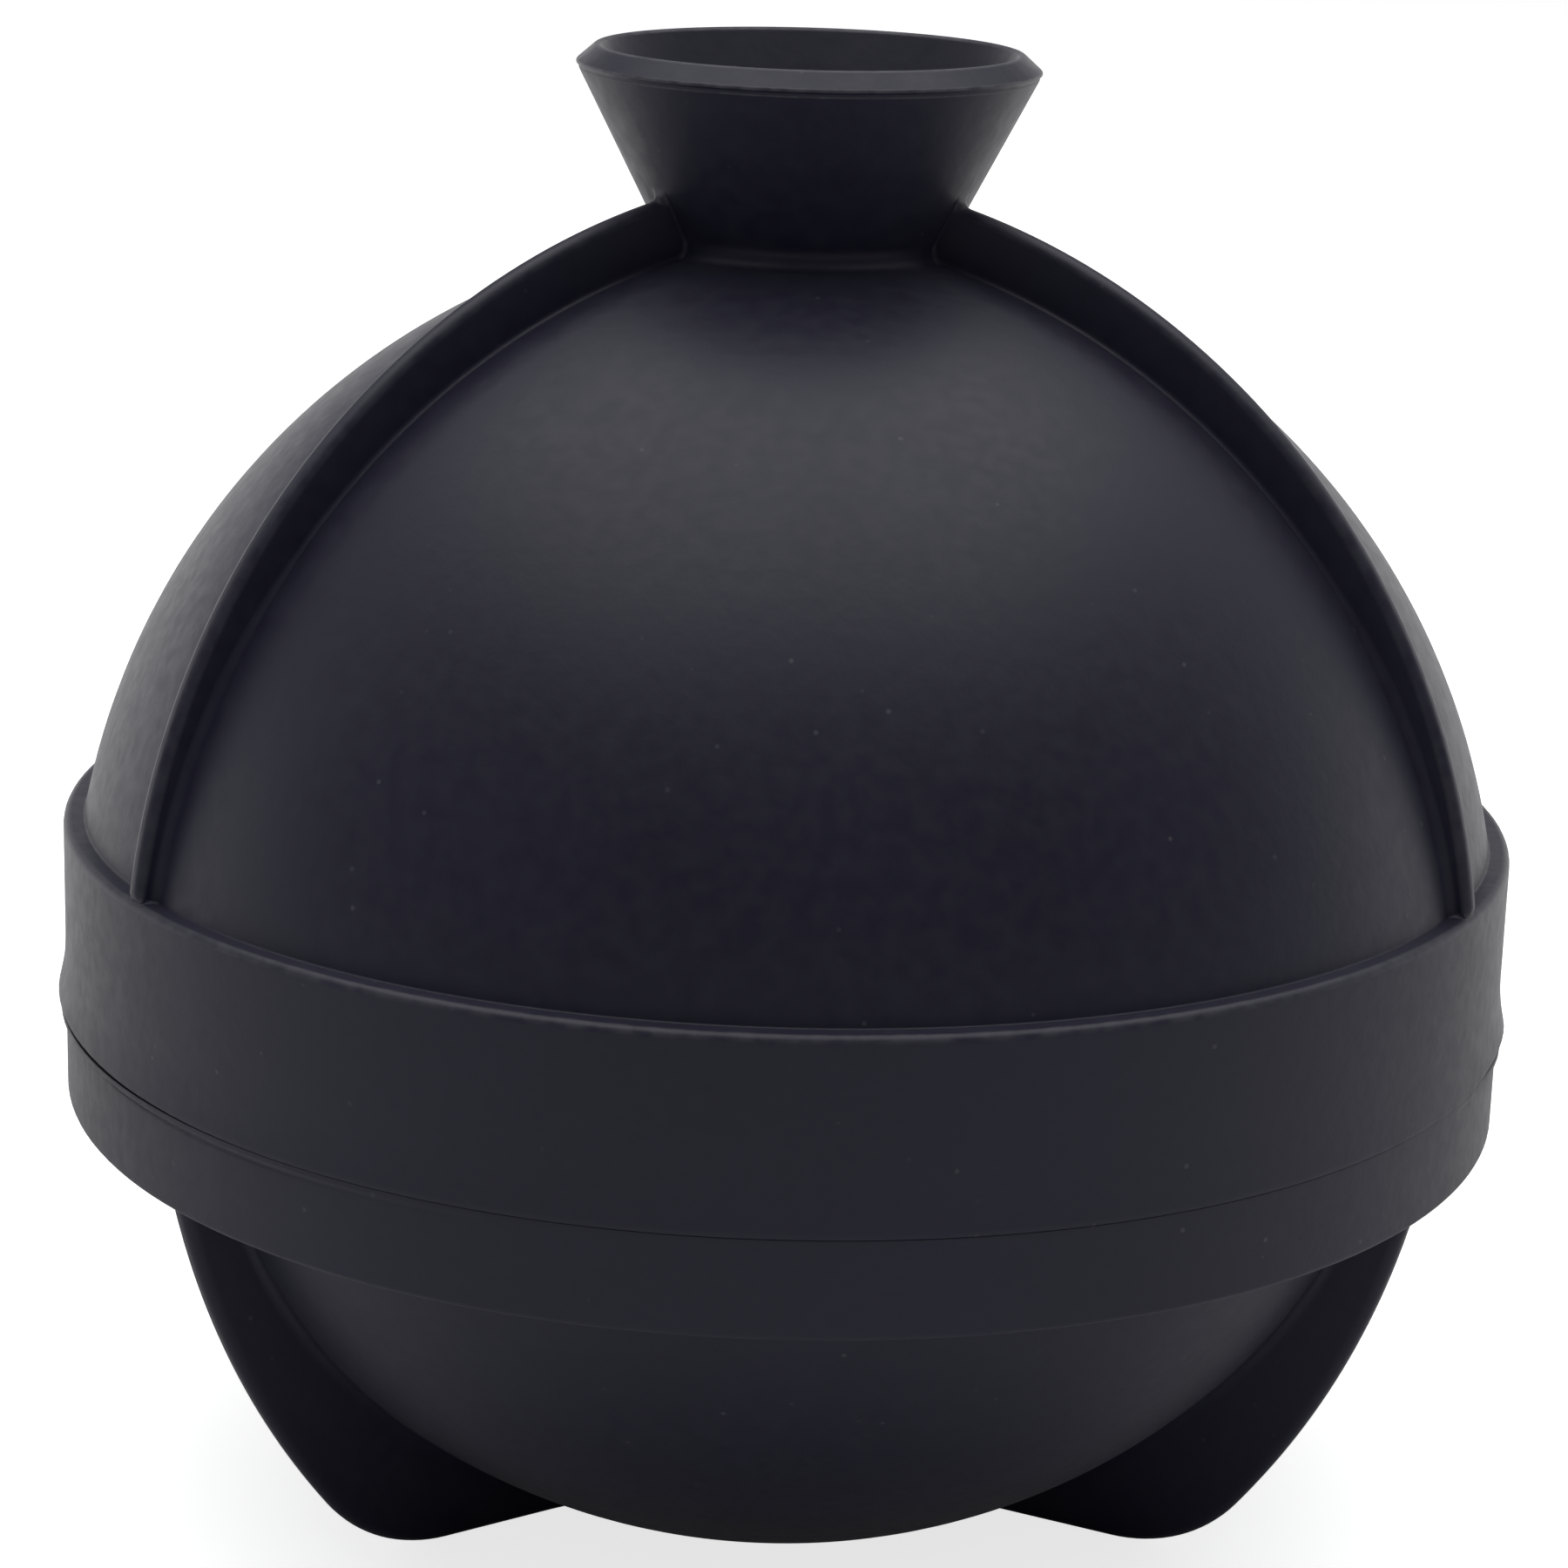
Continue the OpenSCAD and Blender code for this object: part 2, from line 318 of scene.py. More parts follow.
def plate_columns(t, edge_r):
    """Columns across a plate from one side to the other: how far each is from the plate's middle, how much
    of the hollow's radius it lies further out, and what share it has climbed of the hollow at the foot, of
    the flat side and of the rounded edge."""
    quarter = np.linspace(0, np.pi / 2, QUARTER_STEPS + 1)
    half = t / 2
    side = np.array(SIDE_SHARES)
    foot = np.stack([half + 0 * quarter, 1 - np.sin(quarter), 1 - np.cos(quarter), 0 * quarter, 0 * quarter])
    wall = np.stack([half + 0 * side, 0 * side, 1 + 0 * side, side, 0 * side])
    round_q = half - edge_r * (1 - np.cos(quarter))
    edge = np.stack([round_q, 0 * quarter, 1 + 0 * quarter, 1 + 0 * quarter, np.sin(quarter)])
    crest_q = (half - edge_r) * np.array(CREST_SHARES)
    crest = np.stack([crest_q, np.zeros(3)] + [np.ones(3)] * 3)
    near = np.concatenate([foot, wall[:, 1:], edge[:, 1:], crest], axis=1)
    far = near[:, -2::-1].copy()
    near[:2] *= -1
    return np.concatenate([near, far], axis=1)


def body_of_revolution(base, top, first, t, fillet, edge_r, pole_r):
    """Grid of points round the axis. A row is one point of the section. Between the plates its points lie on
    a circle. Across a plate they keep fixed distances from the plate's middle, and climb from the base
    towards the top: the hollow, the side and the rounded edge, squeezed where the plate is low. The hollow's
    radius fillet has a value for each row. Inside pole_r the plates' share of the circle is a fixed angle."""
    rho = np.maximum(base[:, :1], LEAST_R)
    climb = top - base
    height = np.linalg.norm(climb, axis=1)[:, None]
    way = climb / np.maximum(height, LEAST_LENGTH)
    q, further, foot, wall, edge = plate_columns(t, edge_r)
    squeeze = np.minimum(1, rho / pole_r)
    q = (q[None, :] + fillet * further[None, :]) * squeeze
    small = np.minimum(1, height / (fillet + edge_r))
    rise = small * (fillet * foot + edge_r * edge) + (height - small * (fillet + edge_r)) * wall
    flatten = 1 - rise / np.maximum(height, LEAST_LENGTH) * (height > LEAST_LENGTH)
    x = rho - (rho - np.sqrt(rho * rho - q * q)) * flatten + rise * way[:, :1]
    z = base[:, 1:] + rise * way[:, 1:]
    plate = np.stack([x, q, z], axis=2)

    reach = np.arcsin(-q[:, :1] / rho)
    width = 2 * np.pi / PLATES - 2 * reach
    even = np.linspace(0, 1, SECTOR_STEPS + 1)[1:-1]
    shares = np.unique(np.concatenate([[SECTOR_GUARD, 1 - SECTOR_GUARD], even]))
    turn = reach + width * shares
    sector = np.stack([rho * np.cos(turn), rho * np.sin(turn), base[:, 1:] + 0 * turn], axis=2)

    one = np.concatenate([plate, sector], axis=1)
    turns = []
    for i in range(PLATES):
        a = first + i * 2 * np.pi / PLATES
        spin = np.array([[cos(a), sin(a), 0], [-sin(a), cos(a), 0], [0, 0, 1]])
        turns.append(one @ spin)
    return np.concatenate(turns, axis=1)


def smooth(x):
    """Smooth step from 0 at x = 0 to 1 at x = 1."""
    x = np.clip(x, 0, 1)
    return x * x * (3 - 2 * x)


def bell(turn, stretch):
    """Bell curve of an angle in radians, 1 at the stretch's middle and near 0 two widths away."""
    middle, width = stretch
    off = (turn - middle + np.pi) % (2 * np.pi) - np.pi
    return np.exp(-(off / width) ** 2)


def seat_skirt(grid):
    """Skirt as it sits on the collar. By bell curves of the angle round the axis its flare is taken back,
    least at the two sides, and its lower edge is lifted there. Both fade out upwards."""
    x, y, z = grid[..., 0], grid[..., 1], grid[..., 2]
    turn = np.arctan2(y, x)
    r = np.hypot(x, y)
    kept = FLARE_REST + (1 - FLARE_REST) * (bell(turn, LEFT_FLARE) + bell(turn, RIGHT_FLARE))
    low = np.clip((seam_z + FLARE_H - z) / FLARE_H, 0, 1) ** 2
    pull = np.where(r > belt_r - OUTSIDE, SKIRT_FLARE * (1 - kept) * low, 0)
    gap = LEFT_GAP_H * bell(turn, LEFT_GAP) + RIGHT_GAP_H * bell(turn, RIGHT_GAP)
    lift = gap * smooth((seam_z + GAP_FADE - z) / GAP_FADE)
    return np.stack([x * (1 - pull / r), y * (1 - pull / r), z + lift], axis=2)


def edge_collar(grid):
    """Collar with a small bead along its top edge and a groove under it, both only where the seam gapes.
    Each is a step or a bell curve of the depth below the seam, times a bell curve of the angle."""
    x, y, z = grid[..., 0], grid[..., 1], grid[..., 2]
    r = np.maximum(np.hypot(x, y), LEAST_R)
    depth = seam_z - z
    out = BEAD * (1 - smooth((depth - BEAD_H + BEAD_EDGE / 2) / BEAD_EDGE))
    out = out - GROOVE * np.exp(-((depth - BEAD_H - GROOVE_DROP) / GROOVE_WIDTH) ** 2)
    # Only the collar's side and its rounded top edge move
    on_side = (r > belt_r - 1.2 * SEAM_ROUND) & (depth > -LEAST_STEP) & (depth < COLLAR_H / 2)
    turn = np.arctan2(y, x)
    share = bell(turn, LEFT_BEAD) + RIGHT_BEAD_SHARE * bell(turn, RIGHT_BEAD)
    push = np.where(on_side, out * share, 0)
    return np.stack([x * (1 + push / r), y * (1 + push / r), z], axis=2)


def bend(points, normals, axis, closed):
    """How sharply a grid bends outwards along one axis, per millimetre: the turn between the two steps that
    meet at a point, over their mean length, counted against the normal."""
    ahead = np.roll(points, -1, axis) - points
    back = points - np.roll(points, 1, axis)
    a = np.maximum(np.linalg.norm(ahead, axis=2, keepdims=True), LEAST_STEP)
    b = np.maximum(np.linalg.norm(back, axis=2, keepdims=True), LEAST_STEP)
    turn = 2 * (ahead / a - back / b) / (a + b)
    out = -(turn * normals).sum(axis=2)
    if not closed:
        ends = [slice(None), slice(None)]
        ends[axis] = [0, -1]
        out[tuple(ends)] = 0
    return out


def edge_mask(grid, closed):
    """Mask of the edges painted paler, partly as a painted highlight and partly as wear and dust: 1 on the
    crest of a convex edge and 0 on flat, round and hollow places. It fades out towards the seam, whose fine
    edges get neither."""
    down = np.gradient(grid, axis=0)
    if closed:
        down = np.roll(grid, -1, 0) - np.roll(grid, 1, 0)
    across = np.roll(grid, -1, 1) - np.roll(grid, 1, 1)
    normals = np.cross(down, across)
    normals = normals / np.maximum(np.linalg.norm(normals, axis=2, keepdims=True), LEAST_LENGTH)
    sharp = np.maximum(bend(grid, normals, 0, closed), bend(grid, normals, 1, True))
    highlight_and_rub = smooth((sharp - HIGHLIGHT_WORN_BEND) / HIGHLIGHT_WORN_BEND_SPAN)
    return highlight_and_rub * smooth((grid[..., 2] - seam_z - HIGHLIGHT_WORN_CLEAR) / HIGHLIGHT_WORN_CLEAR_SPAN)


def mesh_piece(name, grid, closed, body, material):
    """Object from a grid of points in millimetres. Rows run down the outside and columns run anticlockwise
    seen from above, so that faces point outwards. closed joins the last row to the first one."""
    rows, columns = grid.shape[:2]
    r = np.arange(rows if closed else rows - 1)[:, None]
    c = np.arange(columns)[None, :]
    below = (r + 1) % rows
    right = (c + 1) % columns
    corners = [r * columns + c, below * columns + c, below * columns + right, r * columns + right]
    quads = np.stack(corners, axis=2).reshape(-1, 4)
    mesh = bpy.data.meshes.new(name)
    mesh.from_pydata(grid.reshape(-1, 3) * MM, [], quads)
    # Mask of the edges that the material paints paler, partly as a painted highlight and partly as wear
    mask = mesh.attributes.new("edge", "FLOAT", "POINT")
    mask.data.foreach_set("value", edge_mask(grid, closed).ravel())
    shape = bmesh.new()
    shape.from_mesh(mesh)
    bmesh.ops.remove_doubles(shape, verts=shape.verts, dist=MERGE * MM)
    bmesh.ops.dissolve_degenerate(shape, edges=shape.edges, dist=SLIVER * MM)
    shape.to_mesh(mesh)
    shape.free()
    mesh.shade_smooth()
    mesh.materials.append(material)
    piece = bpy.data.objects.new(name, mesh)
    bpy.context.scene.collection.objects.link(piece)
    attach(piece, body)
    return piece


def hollow_on_cone(mid_z, r, fillet):
    """Middle and the two end angles of a hollow between the funnel's wall and a circle round the axis point
    at mid_z: its middle is at r + fillet from that point and at fillet from the wall."""
    slope = tan(FUNNEL_ANGLE)
    k = cone_r(mid_z) + fillet / cos(FUNNEL_ANGLE)
    reach = r + fillet
    up = (sqrt((reach * slope) ** 2 + reach ** 2 - k * k) - k * slope) / (1 + slope * slope)
    mid = np.array([k + slope * up, mid_z + up])
    return mid, np.pi - FUNNEL_ANGLE, angle_of((-mid[0], -up)) + 2 * np.pi


def upper_section():
    """Section of the upper half: from the lip's top down the outside, up the inside and back to the lip."""
    crest_z = top_z - LIP_CREST
    crest = np.array([cone_r(crest_z) - cone_step + LIP_CREST / cos(FUNNEL_ANGLE), crest_z])
    slope_top = crest + LIP_CREST * heading(LIP_ANGLE)
    corner = np.array([cone_r(lip_z) - LIP_CORNER / cos(FUNNEL_ANGLE), lip_z])
    slope_foot = corner + LIP_CORNER * heading(LIP_ANGLE)
    cone_top = corner + LIP_CORNER * heading(-FUNNEL_ANGLE)
    step_end = cone_top - LIP_STEP_WIDTH * np.array([sin(FUNNEL_ANGLE), cos(FUNNEL_ANGLE)])

    neck, neck_from, neck_to = hollow_on_cone(dome_z, dome_r, NECK_FILLET)
    neck_start = neck + NECK_FILLET * heading(neck_from)
    neck_end = neck + NECK_FILLET * heading(neck_to)
    high, high_from, high_to = hollow_on_cone(rib_z, rib_r, RIB_TOP_FILLET)
    high_start = high + RIB_TOP_FILLET * heading(high_from)

    dome_mid = np.array([0, dome_z])
    rib_mid = np.array([0, rib_z])
    rib_high = acos(RIB_FAN_R / rib_r)
    rib_low = rib_start + TOE_FAN
    dome_high = angle_of(rib_mid + rib_r * heading(rib_high) - dome_mid)
    dome_low = angle_of(rib_mid + rib_r * heading(rib_low) - dome_mid)
    rib_end = angle_of(high + RIB_TOP_FILLET * heading(high_to) - rib_mid)

    shoulder = np.array([belt_r - SHOULDER_ROUND, belt_z - SHOULDER_ROUND])
    toe = rib_mid + (rib_r - RIB_TOE) * heading(rib_start)
    touch = meet(shoulder, SHOULDER_ROUND, toe, RIB_TOE)
    touch_shoulder = angle_of(touch - shoulder)
    touch_toe = angle_of(touch - toe)
    ledge_r = sqrt((dome_r + CREASE_ROUND) ** 2 - (belt_z + CREASE_ROUND - dome_z) ** 2)
    crease = np.array([ledge_r, belt_z + CREASE_ROUND])
    crease_on_dome = angle_of(dome_mid - crease)

    edge = np.array([skirt_r - SEAM_ROUND, seam_z + SEAM_ROUND])
    flare_start = np.array([belt_r, seam_z + FLARE_H])
    gap_top = ring_top_r + RING_GAP
    gap_foot = ring_foot_r + RING_GAP
    crest_inside = crest + LIP_CREST * heading(np.pi - FUNNEL_ANGLE)
    hole_top = np.array([hole_r, hole_top_z])
    hole_low_z = ball_z + sqrt(ball_r ** 2 - hole_r ** 2)

    return section([
        plain(
            arc(crest, LIP_CREST, np.pi / 2, LIP_ANGLE, 4),
            line(slope_top, slope_foot, 4),
            arc(corner, LIP_CORNER, LIP_ANGLE, -FUNNEL_ANGLE, 5),
            groove(cone_top, step_end, -LIP_STEP, 6),
            line(step_end, high_start, 12),
        ),
        fan(
            [
                line(high_start, neck_start, 4),
                arc(neck, NECK_FILLET, neck_from, neck_to, 8),
                arc(dome_mid, dome_r, angle_of(neck_end - dome_mid), dome_high, 3),
            ],
            [
                arc(high, RIB_TOP_FILLET, high_from, high_to, 6),
                arc(rib_mid, rib_r, rib_end, rib_high, 5),
            ],
        ),
        over_ball(dome_mid, dome_r, arc(rib_mid, rib_r, rib_high, rib_low, 48)),
        fan(
            [
                arc(dome_mid, dome_r, dome_low, crease_on_dome + np.pi, 5),
                arc(crease, CREASE_ROUND, crease_on_dome + 2 * np.pi, 1.5 * np.pi, 4),
                line((ledge_r, belt_z), (shoulder[0], belt_z), 1),
                arc(shoulder, SHOULDER_ROUND, np.pi / 2, touch_shoulder, 4),
            ],
            [
                arc(rib_mid, rib_r, rib_low, rib_start, 3),
                arc(toe, RIB_TOE, rib_start, touch_toe, 10),
            ],
        ),
        plain(
            arc(shoulder, SHOULDER_ROUND, touch_shoulder, 0, 4),
            line((belt_r, shoulder[1]), flare_start, 4),
            flared(flare_start, (skirt_r, edge[1]), 14),
            arc(edge, SEAM_ROUND, 0, -np.pi / 2, 6),
            line((edge[0], seam_z), (gap_foot + RING_BEVEL, seam_z), 3),
            line((gap_foot + RING_BEVEL, seam_z), (gap_foot, seam_z + RING_BEVEL), 1),
            line((gap_foot, seam_z + RING_BEVEL), (gap_top, ball_z), 4),
            line((gap_top, ball_z), (ball_r, ball_z), 3),
            arc((0, ball_z), ball_r, 0, acos(hole_r / ball_r), 40),
            line((hole_r, hole_low_z), hole_top, 3),
            line(hole_top, crest_inside, 12),
            arc(crest, LIP_CREST, np.pi - FUNNEL_ANGLE, np.pi / 2, 6),
        ),
    ])


def lower_section():
    """Section of the lower half: from the ball's lowest point up the inside, over the ring, down the outside
    and in to the middle of the underside."""
    ball_mid = np.array([0, ball_z])
    collar_top = np.array([belt_r - SEAM_ROUND, seam_z - SEAM_ROUND])
    collar_low = np.array([belt_r - EDGE_ROUND, collar_z + EDGE_ROUND])
    drop = ball_z - collar_z + COLLAR_FILLET
    hollow = np.array([sqrt((bowl_r + COLLAR_FILLET) ** 2 - drop ** 2), collar_z - COLLAR_FILLET])

    leg_top = np.array([belt_r - LEG_INSET, collar_z])
    foot = np.array([FOOT_REACH, FOOT_ROUND])
    leg_mid = meet(leg_top, LEG_ARC, foot, LEG_ARC - FOOT_ROUND)
    knee = angle_of(foot - leg_mid)
    top_drop = leg_mid[1] - collar_z + LEG_TOP_FILLET
    high_r = leg_mid[0] + sqrt((LEG_ARC + LEG_TOP_FILLET) ** 2 - top_drop ** 2)
    high = np.array([high_r, collar_z - LEG_TOP_FILLET])
    leg_from = angle_of(high - leg_mid)
    leg_fan = leg_from - LEG_FAN

    fan_point = leg_mid + LEG_ARC * heading(leg_fan)
    bowl_fan = angle_of(fan_point - ball_mid)
    hollow_on_bowl = angle_of(hollow - ball_mid)

    under = ball_z - BASE_LIFT - UNDERSIDE_ROUND
    under_mid = np.array([sqrt((bowl_r - UNDERSIDE_ROUND) ** 2 - under ** 2), BASE_LIFT + UNDERSIDE_ROUND])
    under_on_bowl = angle_of(under_mid - ball_mid)
    foot_fan_x = under_mid[0] + FOOT_FAN
    foot_fan = angle_of(np.array([foot_fan_x, 0]) - ball_mid)
    heel = np.array([FOOT_INNER + PLATE_ROUND, PLATE_ROUND])

    return section([
        plain(
            arc(ball_mid, ball_r, -np.pi / 2, 0, 44),
            line((ball_r, ball_z), (ring_top_r - RING_BEVEL, ball_z), 3),
            line((ring_top_r - RING_BEVEL, ball_z), (ring_top_r, ball_z - RING_BEVEL), 1),
            line((ring_top_r, ball_z - RING_BEVEL), (ring_foot_r, seam_z), 4),
            line((ring_foot_r, seam_z), (collar_top[0], seam_z), 3),
            arc(collar_top, SEAM_ROUND, np.pi / 2, 0, 6),
            line((belt_r, collar_top[1]), (belt_r, seam_z - CLOSE_ROWS), 14),
            line((belt_r, seam_z - CLOSE_ROWS), (belt_r, collar_low[1]), 3),
            arc(collar_low, EDGE_ROUND, 0, -np.pi / 2, 6),
            line((collar_low[0], collar_z), (high[0], collar_z), 1),
        ),
        fan(
            [
                line((high[0], collar_z), (hollow[0], collar_z), 3),
                arc(hollow, COLLAR_FILLET, np.pi / 2, hollow_on_bowl + np.pi, 7),
                arc(ball_mid, bowl_r, hollow_on_bowl, bowl_fan, 2),
            ],
            [
                arc(high, LEG_TOP_FILLET, np.pi / 2, leg_from + np.pi, 6),
                arc(leg_mid, LEG_ARC, leg_from, leg_fan, 4),
            ],
        ),
        over_ball(
            ball_mid, bowl_r,
            arc(leg_mid, LEG_ARC, leg_fan, knee, 22),
            arc(foot, FOOT_ROUND, knee, -np.pi / 2, 16),
            line((FOOT_REACH, 0), (foot_fan_x, 0), 5),
        ),
        fan(
            [
                arc(ball_mid, bowl_r, foot_fan, under_on_bowl, 2),
                arc(under_mid, UNDERSIDE_ROUND, under_on_bowl, -np.pi / 2, 5),
                line((under_mid[0], BASE_LIFT), (FOOT_INNER, BASE_LIFT), 5),
            ],
            [
                line((foot_fan_x, 0), (heel[0], 0), 5),
                arc(heel, PLATE_ROUND, -np.pi / 2, -np.pi, 5),
                line((FOOT_INNER, PLATE_ROUND), (FOOT_INNER, BASE_LIFT), 1),
            ],
        ),
        plain(line((FOOT_INNER, BASE_LIFT), (0, BASE_LIFT), 6)),
    ])


def add_node(tree, kind, **values):
    """New shader node. A value names a property of the node, or one of its inputs."""
    node = tree.nodes.new(kind)
    for name, value in values.items():
        if hasattr(node, name):
            setattr(node, name, value)
        else:
            node.inputs[name.replace("_", " ")].default_value = value
    return node


def empty_tree(owner):
    """Node tree of a new material or world, with nothing in it."""
    owner.use_nodes = True
    owner.node_tree.nodes.clear()
    return owner.node_tree


def texture(tree, kind, place, **values):
    """New texture node that reads the coordinates place."""
    node = add_node(tree, kind, **values)
    tree.links.new(place, node.inputs["Vector"])
    return node


def rescaled(tree, value, low, high, start, end, way="LINEAR"):
    """Output of a map range: low becomes start and high becomes end, and it stays there beyond them."""
    node = add_node(tree, "ShaderNodeMapRange", interpolation_type=way)
    tree.links.new(value, node.inputs["Value"])
    for name, number in zip(("From Min", "From Max", "To Min", "To Max"), (low, high, start, end)):
        node.inputs[name].default_value = number
    return node.outputs["Result"]


def calculated(tree, operation, a, b):
    """Output of a calculation with two sockets."""
    node = add_node(tree, "ShaderNodeMath", operation=operation)
    tree.links.new(a, node.inputs[0])
    tree.links.new(b, node.inputs[1])
    return node.outputs["Value"]


def blend_colour(tree, share, under, over):
    """Output of a colour mix: the colour socket under, with the plain colour over laid on it by share."""
    node = add_node(tree, "ShaderNodeMix", data_type="RGBA")
    tree.links.new(share, node.inputs[0])
    tree.links.new(under, node.inputs[6])
    node.inputs[7].default_value = (*over, 1)
    return node.outputs[2]


def silicone_material():
    """Matt black silicone: slow and fine changes of tone and gloss, paler edges that are partly painted
    highlight and partly wear, dust specks and a grain.
    """
    dark = (0.0090, 0.0079, 0.0242)
    light = (0.0120, 0.0107, 0.0310)
    stained = (0.024, 0.023, 0.042)
    dust_and_highlight = (0.09, 0.088, 0.105)
    grain_depth = 0.00004

    material = bpy.data.materials.new("moulded silicone")
    tree = empty_tree(material)
    link = tree.links.new
    place = add_node(tree, "ShaderNodeTexCoord").outputs["Object"]
    skin = add_node(tree, "ShaderNodeBsdfPrincipled", IOR=1.41, Sheen_Weight=0.11, Sheen_Roughness=0.4)
    link(skin.outputs[0], add_node(tree, "ShaderNodeOutputMaterial").inputs[0])

    cloud = texture(tree, "ShaderNodeTexNoise", place, Scale=60, Detail=4)
    tone = add_node(tree, "ShaderNodeValToRGB")
    for stop, position, colour in zip(tone.color_ramp.elements, (0.3, 0.7), (dark, light)):
        stop.position = position
        stop.color = (*colour, 1)
    link(cloud.outputs["Fac"], tone.inputs["Fac"])

    mottle = texture(tree, "ShaderNodeTexNoise", place, Scale=1100, Detail=3).outputs["Fac"]
    stain = rescaled(tree, mottle, 0.35, 0.7, 0, 0.3)
    mottled = blend_colour(tree, stain, tone.outputs["Color"], stained)
    link(rescaled(tree, mottle, 0.35, 0.65, 0.45, 0.52), skin.inputs["Roughness"])

    # A dust speck is the middle of a cell, in the few cells whose random colour has the most red
    cells = texture(tree, "ShaderNodeTexVoronoi", place, Scale=900)
    dot = rescaled(tree, cells.outputs["Distance"], 0.14, 0.07, 0, 1)
    chance = add_node(tree, "ShaderNodeSeparateColor")
    link(cells.outputs["Color"], chance.inputs[0])
    dust = calculated(tree, "MULTIPLY", dot, rescaled(tree, chance.outputs[0], 0.84, 1, 0, 0.6))

    # Edges are painted paler: partly a painted highlight on their crests, partly wear and dust
    edge = add_node(tree, "ShaderNodeAttribute", attribute_name="edge").outputs["Fac"]
    edge_highlight_and_rub = calculated(tree, "MULTIPLY", edge, rescaled(tree, mottle, 0.35, 0.6, 0.25, 0.75))
    pale = calculated(tree, "MAXIMUM", dust, edge_highlight_and_rub)
    link(blend_colour(tree, pale, mottled, dust_and_highlight), skin.inputs["Base Color"])

    grain = texture(tree, "ShaderNodeTexNoise", place, Scale=1150, Detail=4)
    bump = add_node(tree, "ShaderNodeBump", Strength=0.5, Distance=grain_depth)
    link(grain.outputs["Fac"], bump.inputs["Height"])
    link(bump.outputs["Normal"], skin.inputs["Normal"])
    return material


def floor_material():
    """White board that keeps the mould's shadow. The camera sees it glow nearly white, and what the mould
    mirrors of it glows behind the mould."""
    seen_glow = 0.76
    mirrored_glow = 0.6
    behind_from = 0.03
    behind_to = 0.12

    material = bpy.data.materials.new("white board")
    tree = empty_tree(material)
    link = tree.links.new
    place = add_node(tree, "ShaderNodeSeparateXYZ")
    link(add_node(tree, "ShaderNodeTexCoord").outputs["Object"], place.inputs[0])
    ray = add_node(tree, "ShaderNodeLightPath").outputs
    behind = rescaled(tree, place.outputs["Y"], behind_from, behind_to, 0, mirrored_glow, "SMOOTHSTEP")
    strength = add_node(tree, "ShaderNodeMath", operation="MULTIPLY_ADD")
    strength.inputs[1].default_value = seen_glow
    link(ray["Is Camera Ray"], strength.inputs[0])
    link(calculated(tree, "MULTIPLY", behind, ray["Is Glossy Ray"]), strength.inputs[2])
    matt = add_node(tree, "ShaderNodeBsdfDiffuse", Color=(0.8, 0.8, 0.8, 1))
    glow = add_node(tree, "ShaderNodeEmission", Color=(1, 1, 1, 1))
    link(strength.outputs["Value"], glow.inputs["Strength"])
    both = add_node(tree, "ShaderNodeAddShader")
    link(matt.outputs[0], both.inputs[0])
    link(glow.outputs[0], both.inputs[1])
    link(both.outputs[0], add_node(tree, "ShaderNodeOutputMaterial").inputs[0])
    return material


def make_floor():
    """Flat round board, a hair under the feet."""
    radius = 1.6
    drop = 0.00005
    corners = 96
    turn = np.linspace(0, 2 * np.pi, corners, endpoint=False)
    rim = np.stack([radius * np.cos(turn), radius * np.sin(turn), 0 * turn - drop], axis=1)
    mesh = bpy.data.meshes.new("floor")
    mesh.from_pydata(rim, [], [np.arange(corners)])
    mesh.materials.append(floor_material())
    floor = bpy.data.objects.new("floor", mesh)
    bpy.context.scene.collection.objects.link(floor)


def make_world():
    """Room round the board. The camera sees it white. What it sheds on the mould is bright along the foot of
    the wall behind it, falls off upwards, and is weak in front."""
    weak = 0.14
    bright = 1.7

    world = bpy.data.worlds.new("room")
    bpy.context.scene.world = world
    tree = empty_tree(world)
    link = tree.links.new
    way = add_node(tree, "ShaderNodeSeparateXYZ")
    link(add_node(tree, "ShaderNodeTexCoord").outputs["Generated"], way.inputs[0])
    foot = rescaled(tree, way.outputs["Z"], 0.3, 0.1, 0, 1, "SMOOTHSTEP")
    behind = rescaled(tree, way.outputs["Y"], -0.35, 0.85, 0, 1, "SMOOTHSTEP")
    wall = calculated(tree, "MULTIPLY", foot, behind)
    room = add_node(tree, "ShaderNodeBackground", Color=(1, 1, 1, 1))
    link(rescaled(tree, wall, 0, 1, weak, bright), room.inputs["Strength"])
    white = add_node(tree, "ShaderNodeBackground", Color=(1, 1, 1, 1), Strength=1)
    pick = add_node(tree, "ShaderNodeMixShader")
    link(add_node(tree, "ShaderNodeLightPath").outputs["Is Camera Ray"], pick.inputs["Fac"])
    link(room.outputs[0], pick.inputs[1])
    link(white.outputs[0], pick.inputs[2])
    link(pick.outputs[0], add_node(tree, "ShaderNodeOutputWorld").inputs[0])


def soft_light(name, place, width, height, power):
    """Rectangular soft light at a place in metres, turned towards the mould's middle."""
    data = bpy.data.lights.new(name, "AREA")
    data.shape = "RECTANGLE"
    data.size = width
    data.size_y = height
    data.energy = power
    lamp = bpy.data.objects.new(name, data)
    bpy.context.scene.collection.objects.link(lamp)
    lamp.location = place
    middle = Vector((0, 0, 0.04))
    aim = middle - Vector(place)
    lamp.rotation_euler = aim.to_track_quat("-Z", "Y").to_euler()


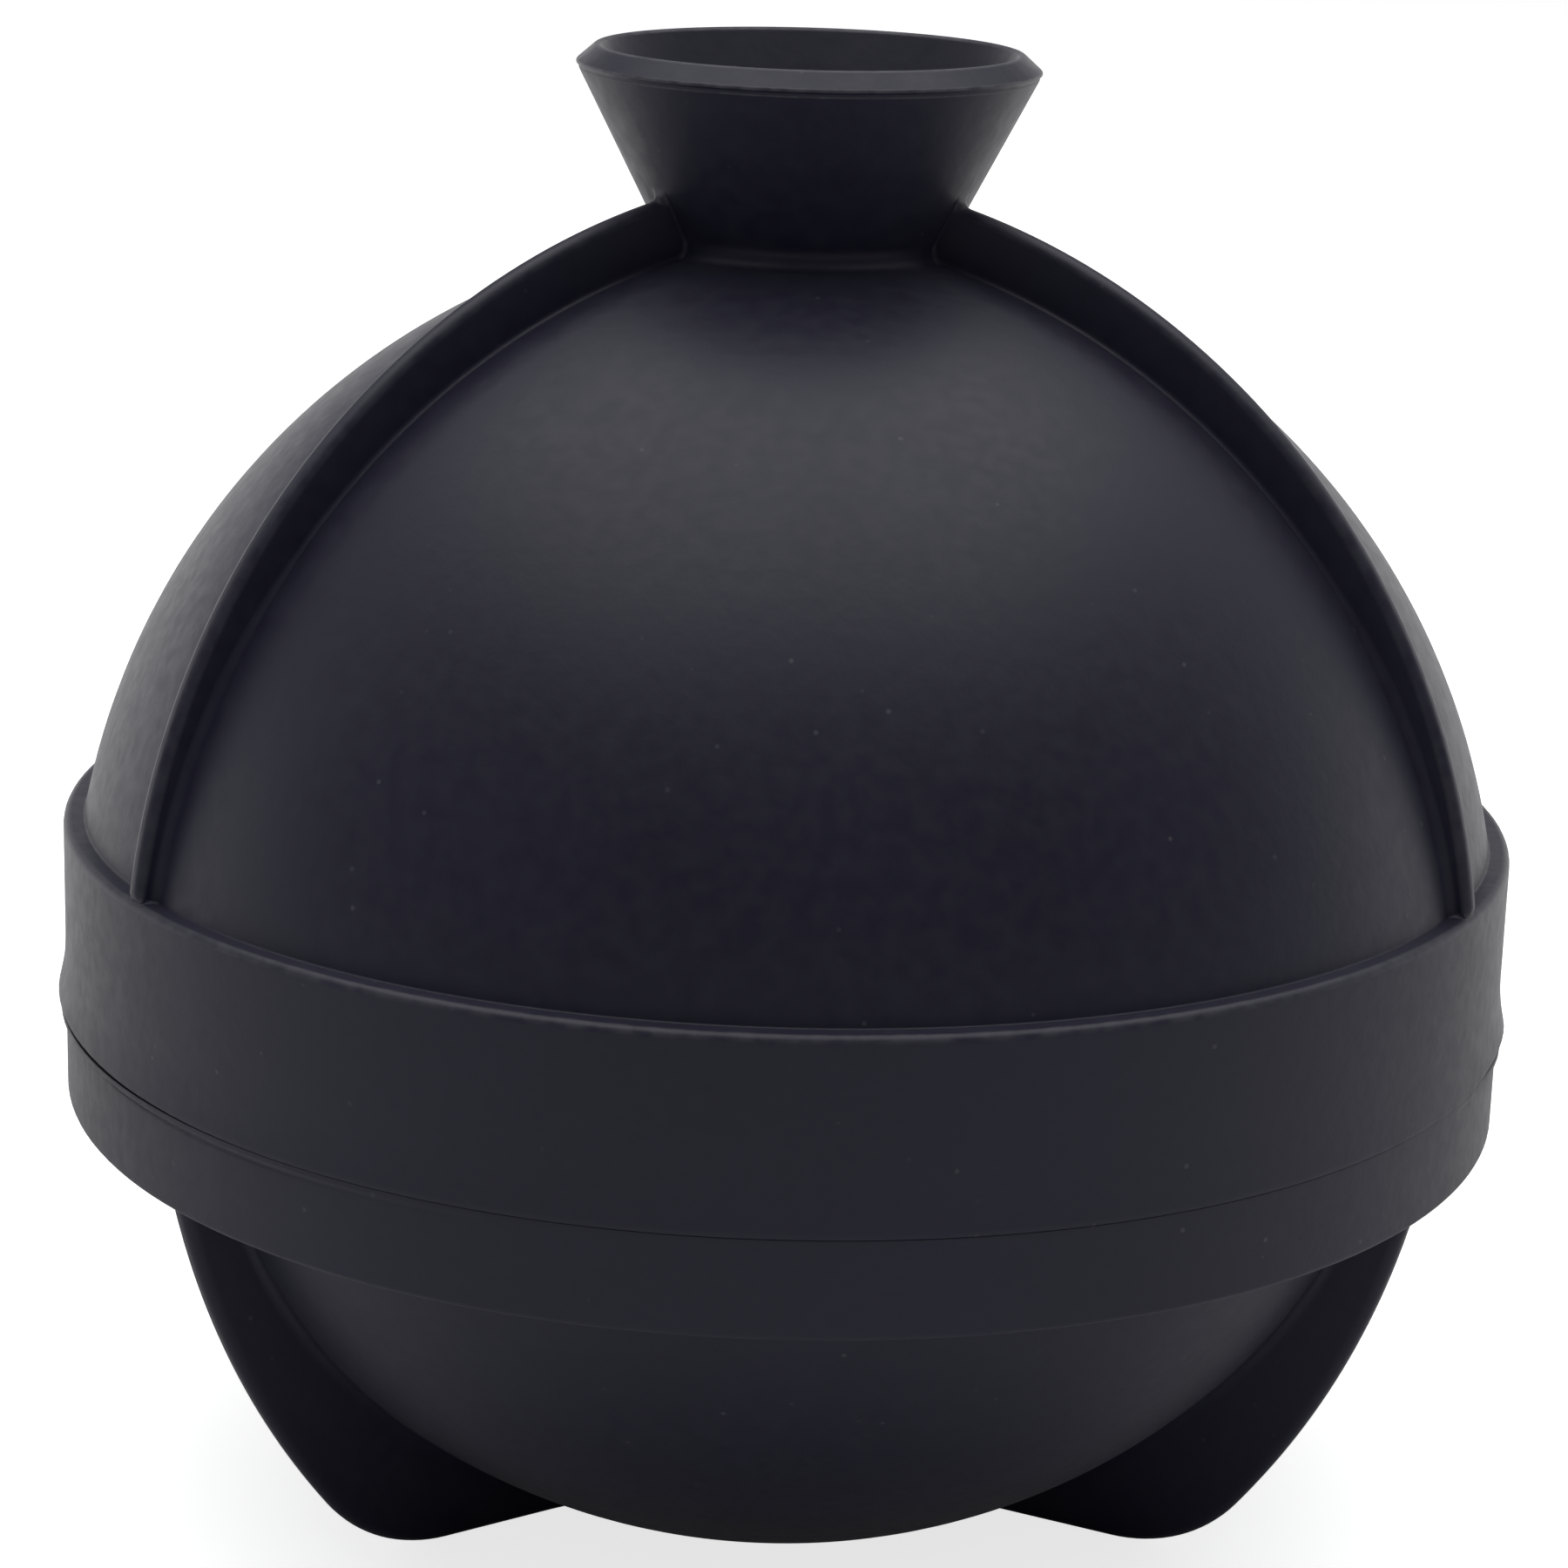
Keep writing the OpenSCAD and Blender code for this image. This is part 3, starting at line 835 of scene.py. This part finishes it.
def make_camera():
    """Camera of the photograph: its distance, height, turn round the mould, tilt down and roll."""
    distance = 0.2179
    height = 0.0997
    turn = radians(-4.15)
    aim_off = radians(0.058)
    tilt = radians(15.583)
    roll = radians(1.696)
    data = bpy.data.cameras.new("camera")
    data.sensor_width = 36
    data.lens = 96.7
    data.clip_start = 0.01
    camera = bpy.data.objects.new("camera", data)
    bpy.context.scene.collection.objects.link(camera)
    spin = Matrix.Rotation(turn, 4, "Z")
    look = (
        Matrix.Rotation(turn + aim_off, 4, "Z")
        @ Matrix.Rotation(radians(90) - tilt, 4, "X")
        @ Matrix.Rotation(roll, 4, "Z")
    )
    camera.matrix_world = Matrix.Translation(spin @ Vector((0, -distance, height))) @ look
    bpy.context.scene.camera = camera


def make_upper(material):
    """Upper half. Its ribs' hollows widen low down on the dome. The section's last row is its first."""
    base, top = upper_section()
    low_down = smooth((dome_z + RIB_SOFT_FROM * dome_r - base[:, 1:]) / (RIB_SOFT_SPAN * dome_r))
    hollow = RIB_FILLET + (RIB_FILLET_LOW - RIB_FILLET) * low_down
    shell = body_of_revolution(base, top, FIRST_RIB, RIB_T, hollow, RIB_EDGE, 1)[:-1]
    upper = mesh_piece("upper_mould", seat_skirt(shell), True, "upper", material)
    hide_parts("upper_half")


def make_lower(material):
    """Lower half. Its legs' hollows widen down from the collar."""
    base, top = lower_section()
    low_down = smooth((collar_z - base[:, 1:]) / LEG_SOFT_SPAN)
    hollow = LEG_FILLET_HIGH + (LEG_FILLET - LEG_FILLET_HIGH) * low_down
    shell = body_of_revolution(base, top, FIRST_LEG, LEG_T, hollow, LEG_EDGE, POLE_SHARE * FOOT_INNER)
    lower = mesh_piece("lower_mould", edge_collar(shell), False, "lower", material)
    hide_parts("lower_half")


silicone = silicone_material()
make_upper(silicone)
make_lower(silicone)
make_floor()
make_world()
soft_light("top panel", (0, 0.06, 0.68), 0.9, 0.8, 4.3)
soft_light("left panel", (-0.5, 0.2, 0.45), 0.5, 0.6, 0.25)
soft_light("right panel", (0.5, 0.2, 0.45), 0.5, 0.6, 0.3)
make_camera()
bpy.context.scene.view_settings.view_transform = "Standard"
